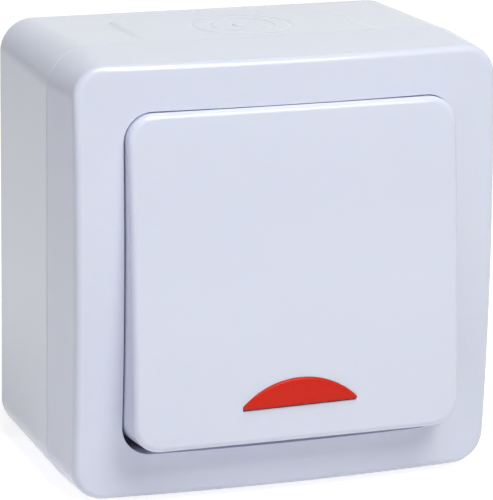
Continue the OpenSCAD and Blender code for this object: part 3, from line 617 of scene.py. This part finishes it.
clips = []
for side in (-1, 1):
    leg = sorted((side * cradle_l / 2, side * (cradle_l / 2 + leg_t)))
    hook = sorted((side * (cradle_l / 2 - barb), side * (cradle_l / 2 + leg_t + hair)))
    clips.append(block(-leg_w / 2, leg_w / 2, *leg, hook_z + hook_h / 2, cap_under + fused))
    clips.append(block(-leg_w / 2, leg_w / 2, *hook, hook_z, hook_z + hook_h))
    for end in (-1, 1):
        place = (side * (cradle_w / 2 - peg_in), end * (cradle_l / 2 - peg_in))
        clips.append(prism(circle(peg_r, place, peg_points), cradle_top, cap_under + fused))
cut(rocker, clips, "UNION")
cut(rocker, [prism(lens_outline(lens_play), skirt_z, cap_top + past)], "DIFFERENCE")
cut(rocker, [prism(lens_outline(lens_flange), skirt_z, lens_seat)], "DIFFERENCE")
slit_half = lens_w / 2 - slit_short
slit = block(-slit_half, slit_half, -slit_w, slit_overlap, lens_seat + slit_depth, cap_top + past)
TO_LENS = Matrix.Translation((0, -lens_drop, 0)) @ Matrix.Rotation(lens_tilt, 4, "Z")
cut(rocker, [moved(slit, TO_LENS)], "DIFFERENCE")
finish_shape(rocker, UPRIGHT @ LEANED)
rocker.data.materials.append(white)
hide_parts("rocker_cap")
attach(rocker, "rocker")

# %% [markdown]
# ## Lens
#
# The red lens shows where the switch is, with a small lamp behind it. It is a separate piece of
# clear red plastic that stands a little proud of the rocker and is held by a flange from behind.
# Rings that shrink evenly from its outline give it a rounded edge and a gently domed face.

# %% Lens mesh and finish
lens_face = cap_top - rocker_crown(0, lens_drop - lens_h / 2) + lens_rise
lens_bottom = lens_seat - lens_flange_t
flange_grow, body_grow, body_down = lens_flange - 0.1, -0.03, 0.32
dome = [(-0.07, 0.2), (-0.16, 0.1), (-0.3, 0.04), (-0.6, 0), (-1.2, -0.01)]
levels = [(flange_grow, lens_bottom), (flange_grow, lens_seat)]
levels += [(body_grow, lens_seat), (body_grow, lens_face - body_down)]
levels += [(grow, lens_face - down) for grow, down in dome]
lens = as_object(skin([lift(lens_outline(grow), z) for grow, z in levels]), "lens_moulding")
finish_shape(lens, UPRIGHT @ LEANED)
red = plastic("red_lens", (0.60, 0.018, 0.009), (0.65, 0.024, 0.013), (0.25, 0.32), 1200, 0.00001, 0.05)
red.node_tree.nodes["Principled BSDF"].inputs["Specular IOR Level"].default_value = 0.12
lens.data.materials.append(red)
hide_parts("indicator_lens")
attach(lens, "rocker")
print("lens face at", round(lens_face, 2))

# %% [markdown]
# ## Inner pieces
#
# Nothing of the mechanism shows, but each piece still gets the finish it has on the real switch:
# satin plastic, rubber, stamped brass, plated steel and glass.


# %% Metal, rubber and glass
def metal(name, first, second, rough, scale, stretch):
    """Metal with fine drawn lines: noise that is stretched along one axis."""
    mat, nodes, links, bsdf = new_material(name)
    place = nodes.new("ShaderNodeTexCoord")
    squeeze = nodes.new("ShaderNodeMapping")
    squeeze.inputs["Scale"].default_value = stretch
    lines = nodes.new("ShaderNodeTexNoise")
    lines.inputs["Scale"].default_value = scale
    links.new(place.outputs["Object"], squeeze.inputs["Vector"])
    links.new(squeeze.outputs["Vector"], lines.inputs["Vector"])
    links.new(tint(nodes, links, lines.outputs["Fac"], first, second), bsdf.inputs["Base Color"])
    links.new(spread(nodes, links, lines.outputs["Fac"], *rough), bsdf.inputs["Roughness"])
    ripple(nodes, links, bsdf, scale * 2, 0.00001, 0.1)
    bsdf.inputs["Metallic"].default_value = 1.0
    return mat


pale = plastic("pale_plastic", (0.66, 0.67, 0.70), (0.70, 0.71, 0.74), (0.42, 0.52), 1500, 0.00003, 0.2)
grey = plastic("grey_plastic", (0.17, 0.18, 0.20), (0.20, 0.21, 0.23), (0.45, 0.55), 1500, 0.00003, 0.2)
rubber = plastic("seal_rubber", (0.045, 0.045, 0.05), (0.07, 0.07, 0.075), (0.7, 0.85), 2500, 0.00004, 0.4)
tan = plastic("resistor_lacquer", (0.58, 0.44, 0.26), (0.64, 0.50, 0.31), (0.3, 0.4), 900, 0.00003, 0.2)
brass = metal("contact_brass", (0.72, 0.50, 0.20), (0.80, 0.60, 0.28), (0.28, 0.42), 300, (1, 1, 12))
steel = metal("screw_steel", (0.50, 0.51, 0.53), (0.62, 0.63, 0.65), (0.25, 0.4), 400, (1, 8, 1))
silver = metal("silver_tip", (0.78, 0.78, 0.79), (0.86, 0.86, 0.87), (0.2, 0.3), 500, (1, 1, 1))
print("inner finishes made")

# %% Lamp glass and the table of finishes
glass, nodes, links, bsdf = new_material("lamp_glass")
streaks = noise(nodes, links, 400)
warm_glass = tint(nodes, links, streaks.outputs["Fac"], (0.95, 0.86, 0.78), (0.98, 0.92, 0.86))
links.new(warm_glass, bsdf.inputs["Base Color"])
links.new(spread(nodes, links, streaks.outputs["Fac"], 0.02, 0.08), bsdf.inputs["Roughness"])
ripple(nodes, links, bsdf, 300, 0.00001, 0.1)
bsdf.inputs["Transmission Weight"].default_value = 0.9
bsdf.inputs["IOR"].default_value = 1.5

FINISHES = {
    "white_moulding": white,
    "red_lens": red,
    "pale_plastic": pale,
    "grey_plastic": grey,
    "seal_rubber": rubber,
    "contact_brass": brass,
    "screw_steel": steel,
    "silver_tip": silver,
    "lamp_glass": glass,
    "resistor_body": tan,
}
for part in frame["record"]["subparts"]:
    node = frame["nodes"][part["node"]]
    node.data.materials.clear()
    node.data.materials.append(FINISHES[part["material_slot"]])

# %% [markdown]
# ## Floor and background
#
# The photo is a catalogue picture on white. The floor is plain and pale and keeps a soft shadow.
# Towards the camera, and in reflections, both the floor and the world are close to white, while
# the other light that they give to the object stays low: the Light Path node tells them apart.


# %% Floor
def seen_directly(nodes, links):
    """1 for rays from the camera, from a reflection or through glass, else 0."""
    path = nodes.new("ShaderNodeLightPath")
    first = nodes.new("ShaderNodeMath")
    first.operation = "MAXIMUM"
    links.new(path.outputs["Is Camera Ray"], first.inputs[0])
    links.new(path.outputs["Is Glossy Ray"], first.inputs[1])
    second = nodes.new("ShaderNodeMath")
    second.operation = "MAXIMUM"
    links.new(first.outputs[0], second.inputs[0])
    links.new(path.outputs["Is Transmission Ray"], second.inputs[1])
    return second.outputs[0]


sheet = bmesh.new()
bmesh.ops.create_grid(sheet, x_segments=8, y_segments=8, size=3)
floor = as_object(sheet, "floor")
floor_gap = 0.0002
floor.location = (0, 0, cad_low.z - floor_gap)
floor_mat, nodes, links, bsdf = new_material("pale_floor")
mottle = noise(nodes, links, 8)
pale_grey = tint(nodes, links, mottle.outputs["Fac"], (0.80, 0.80, 0.80), (0.84, 0.84, 0.84))
links.new(pale_grey, bsdf.inputs["Base Color"])
bsdf.inputs["Roughness"].default_value = 0.9
bsdf.inputs["Specular IOR Level"].default_value = 0.0
floor_glow = 0.8
glow = nodes.new("ShaderNodeMath")
glow.operation = "MULTIPLY"
glow.inputs[1].default_value = floor_glow
links.new(seen_directly(nodes, links), glow.inputs[0])
bsdf.inputs["Emission Color"].default_value = (1, 1, 1, 1)
links.new(glow.outputs[0], bsdf.inputs["Emission Strength"])
floor.data.materials.append(floor_mat)

# %% World
world = bpy.data.worlds.new("studio")
bpy.context.scene.world = world
world.use_nodes = True
nodes, links = world.node_tree.nodes, world.node_tree.links
ambient = nodes["Background"]
ambient.inputs["Color"].default_value = (0.97, 0.98, 1.0, 1)
ambient.inputs["Strength"].default_value = 0.030
backdrop = nodes.new("ShaderNodeBackground")
backdrop.inputs["Color"].default_value = (1, 1, 1, 1)
backdrop.inputs["Strength"].default_value = 1.0
pick = nodes.new("ShaderNodeMixShader")
links.new(seen_directly(nodes, links), pick.inputs["Fac"])
links.new(ambient.outputs["Background"], pick.inputs[1])
links.new(backdrop.outputs["Background"], pick.inputs[2])
links.new(pick.outputs["Shader"], nodes["World Output"].inputs["Surface"])

# %% [markdown]
# ## Light
#
# The shadow under the rocker falls down and a little to the left, so the main light stands in
# front, high and to the right. A wide panel overhead brightens the top of the box, a weak one
# in front fills the shadows, and two on the left light the narrow sides, which stay the darkest.
# Large lamps keep the shadows soft.


# %% Lamps
def softbox(name, place, aim, size, power, colour):
    data = bpy.data.lights.new(name, "AREA")
    data.shape, data.size = "SQUARE", size
    data.energy, data.color = power, colour
    lamp = bpy.data.objects.new(name, data)
    lamp.location = place
    lamp.rotation_euler = (Vector(aim) - Vector(place)).to_track_quat("-Z", "Y").to_euler()
    bpy.context.scene.collection.objects.link(lamp)


middle = (0, -0.02, 0)
softbox("key", (0.14, -0.42, 0.46), middle, 0.24, 1.98, (1.025, 1.029, 0.942))
softbox("front", (-0.25, -0.60, 0.12), middle, 0.35, 0.212, (1.050, 0.930, 0.939))
softbox("high", (0.0, -0.25, 0.60), middle, 0.30, 1.87, (0.985, 1.044, 0.967))
softbox("near_left", (-0.52, -0.34, 0.06), middle, 0.30, 0.499, (0.939, 0.930, 1.050))
softbox("left", (-0.60, -0.10, 0.10), middle, 0.30, 0.182, (0.930, 0.930, 1.050))

# %% [markdown]
# ## Camera
#
# The camera was fitted to the outlines in the photo: it looks from the left and from above
# through a long lens, with a very small roll.

# %% Camera
eye = Vector((-0.1751, -0.4945, 0.1297))
target = Vector((-0.001066, -0.025, -0.00008))
roll = math.radians(0.819)
ahead = (target - eye).normalized()
right = ahead.cross(Vector((0, 0, 1))).normalized()
above = right.cross(ahead)
across = right * math.cos(roll) + above * math.sin(roll)
upward = above * math.cos(roll) - right * math.sin(roll)
lens_data = bpy.data.cameras.new("camera")
lens_data.sensor_width, lens_data.lens = 36.0, 241.68
lens_data.clip_start, lens_data.clip_end = 0.01, 20
camera = bpy.data.objects.new("camera", lens_data)
camera.matrix_world = Matrix((
    (across.x, upward.x, -ahead.x, eye.x),
    (across.y, upward.y, -ahead.y, eye.y),
    (across.z, upward.z, -ahead.z, eye.z),
    (0, 0, 0, 1),
))
bpy.context.scene.collection.objects.link(camera)
bpy.context.scene.camera = camera
bpy.context.scene.view_settings.view_transform = "Standard"

# %% [markdown]
# ## Sizes of the two models
#
# The dressed model is made to fill the same space as the CAD model, and the CAD model's box is written down.

# %% The CAD model's box
print("CAD box mm", [round((h - l) / MM, 2) for l, h in zip(cad_low, cad_high)])
